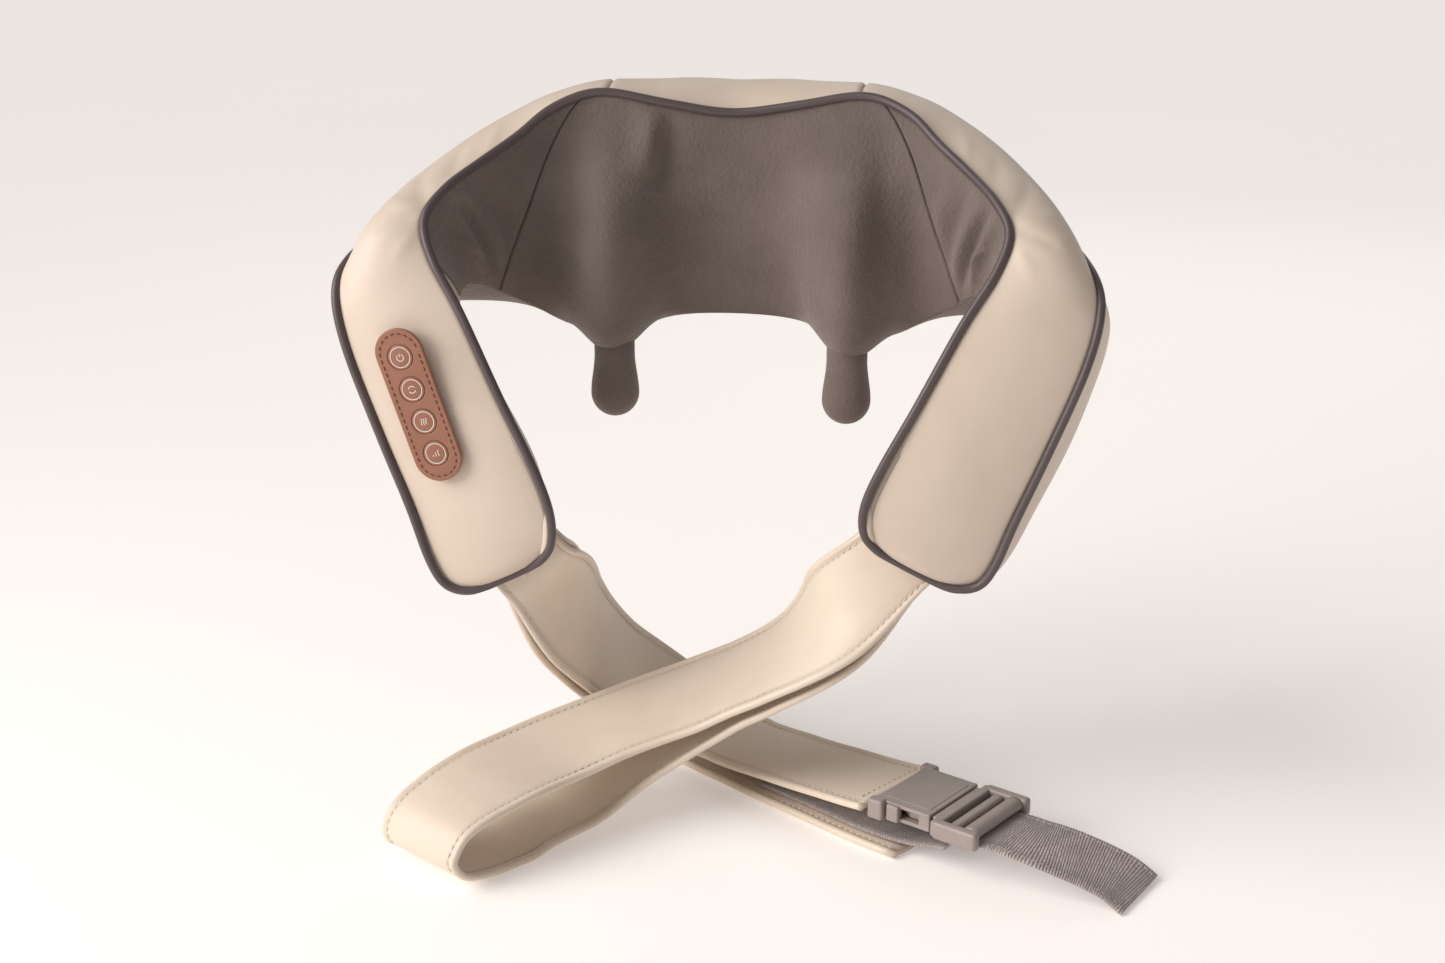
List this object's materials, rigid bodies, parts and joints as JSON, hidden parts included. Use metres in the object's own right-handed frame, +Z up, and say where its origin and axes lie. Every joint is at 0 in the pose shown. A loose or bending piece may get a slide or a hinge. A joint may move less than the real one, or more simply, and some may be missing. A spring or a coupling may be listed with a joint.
{
  "type": "shiatsu neck massager",
  "caption": "Padded horseshoe neck massager with kneading thumbs under stretch fabric, arms that hang over the shoulders, hand straps and a side-release buckle.",
  "frame": {"origin": "bottom centre of the bounding box, on the surface that the straps lie on", "axes": "+Z up, +Y towards the wearer's back, +X towards the object's own right-hand end, where the buckle's webbing tail lies"},
  "size_m": [0.4472, 0.2666, 0.3916],
  "materials": {
    "cream_leather": "satin",
    "strap_leather": "satin",
    "stretch_fabric": "matte",
    "thumb_fabric": "matte",
    "piping": "satin",
    "brown_leather": "satin",
    "webbing": "matte",
    "buckle_plastic": "satin",
    "steel": "satin",
    "acetal": "satin",
    "node_rubber": "matte",
    "cell_wrap": "gloss",
    "circuit_board": "satin",
    "foam": "matte",
    "wire": "matte",
    "dark_plastic": "matte"
  },
  "bodies": {
    "frame": {"top_cover_center": "cream_leather", "back_cover": "cream_leather", "base_cover": "stretch_fabric", "inner_fabric_center": "stretch_fabric", "left_top_cover": "cream_leather", "left_side_gusset": "cream_leather", "left_arm_lining": "cream_leather", "left_inner_fabric": "stretch_fabric", "right_top_cover": "cream_leather", "right_side_gusset": "cream_leather", "right_arm_lining": "cream_leather", "right_inner_fabric": "stretch_fabric", "inner_piping": "piping", "outer_piping": "piping", "gearbox_cover": "dark_plastic", "gearbox_base": "dark_plastic", "motor": "steel", "left_wheel_axle": "steel", "left_hand_pivot_pin": "steel", "right_wheel_axle": "steel", "right_hand_pivot_pin": "steel", "chassis_plate": "dark_plastic", "main_circuit_board": "circuit_board", "battery_case": "dark_plastic", "inner_battery_cell": "cell_wrap", "outer_battery_cell": "cell_wrap", "battery_protection_board": "circuit_board", "right_arm_foam": "foam", "control_housing": "dark_plastic", "switch_board": "circuit_board", "left_arm_foam": "foam", "control_patch": "brown_leather", "left_arm_lead": "wire", "right_arm_lead": "wire", "charge_socket": "dark_plastic", "right_hand_strap": "strap_leather", "left_strap_upper": "strap_leather", "left_strap_lower": "strap_leather", "anchor_webbing": "webbing", "buckle_socket": "buckle_plastic"},
    "left_drive_wheel": {"left_worm_wheel": "acetal"},
    "right_drive_wheel": {"right_worm_wheel": "acetal"},
    "worm": {"drive_worm": "steel"},
    "left_hand": {"left_kneading_hand": "dark_plastic", "left_finger_node": "node_rubber", "left_thumb": "thumb_fabric"},
    "right_hand": {"right_kneading_hand": "dark_plastic", "right_finger_node": "node_rubber", "right_thumb": "thumb_fabric"},
    "power_key": {"power_button": "brown_leather"},
    "mode_key": {"mode_button": "brown_leather"},
    "heat_key": {"heat_button": "brown_leather"},
    "speed_key": {"speed_button": "brown_leather"},
    "plug": {"buckle_plug": "buckle_plastic", "adjuster_bar": "buckle_plastic", "adjuster_webbing_tail": "webbing"},
    "near_latch": {"near_prong": "buckle_plastic"},
    "far_latch": {"far_prong": "buckle_plastic"}
  },
  "joints": [
    {"name": "worm_spin", "type": "hinge", "parent": "frame", "child": "worm", "pos_m": [-0.01627, 0.09387, 0.33], "axis": [0, 0, 1], "continuous": true},
    {"name": "left_wheel_spin", "type": "hinge", "parent": "frame", "child": "left_drive_wheel", "pos_m": [-0.04327, 0.09387, 0.336], "axis": [0, 1, 0], "continuous": true},
    {"name": "right_wheel_spin", "type": "hinge", "parent": "frame", "child": "right_drive_wheel", "pos_m": [0.01073, 0.09387, 0.336], "axis": [0, 1, 0], "continuous": true},
    {"name": "left_hand_rock", "type": "hinge", "parent": "frame", "child": "left_hand", "pos_m": [-0.07827, 0.06587, 0.29], "axis": [0, 1, 0], "range_deg": [-5.9, 5.9]},
    {"name": "right_hand_rock", "type": "hinge", "parent": "frame", "child": "right_hand", "pos_m": [0.04573, 0.06587, 0.29], "axis": [0, 1, 0], "range_deg": [-5.9, 5.9]},
    {"name": "power_press", "type": "slide", "parent": "frame", "child": "power_key", "axis": [0.0732, 0.9973, 0], "range_m": [0, 0.0008], "stiffness_N_per_m": 600},
    {"name": "mode_press", "type": "slide", "parent": "frame", "child": "mode_key", "axis": [0.0732, 0.9973, 0], "range_m": [0, 0.0008], "stiffness_N_per_m": 600},
    {"name": "heat_press", "type": "slide", "parent": "frame", "child": "heat_key", "axis": [0.0732, 0.9973, 0], "range_m": [0, 0.0008], "stiffness_N_per_m": 600},
    {"name": "speed_press", "type": "slide", "parent": "frame", "child": "speed_key", "axis": [0.0732, 0.9973, 0], "range_m": [0, 0.0008], "stiffness_N_per_m": 600},
    {"name": "buckle_release", "type": "slide", "parent": "frame", "child": "plug", "axis": [0.8526, -0.5225, 0], "range_m": [0, 0.03]},
    {"name": "near_prong_squeeze", "type": "hinge", "parent": "plug", "child": "near_latch", "pos_m": [0.10754, -0.05849, 0.024], "axis": [0, 0, 1], "range_deg": [-6, 0], "stiffness_Nm_per_rad": 0.2},
    {"name": "far_prong_squeeze", "type": "hinge", "parent": "plug", "child": "far_latch", "pos_m": [0.12217, -0.03462, 0.024], "axis": [0, 0, 1], "range_deg": [0, 6], "stiffness_Nm_per_rad": 0.2}
  ],
  "couplings": [
    {"joint": "left_wheel_spin", "follows": "worm_spin", "ratio": -0.05},
    {"joint": "right_wheel_spin", "follows": "worm_spin", "ratio": 0.05},
    {"joint": "right_hand_rock", "follows": "left_hand_rock", "ratio": -1},
    {"joint": "far_prong_squeeze", "follows": "near_prong_squeeze", "ratio": -1}
  ]
}
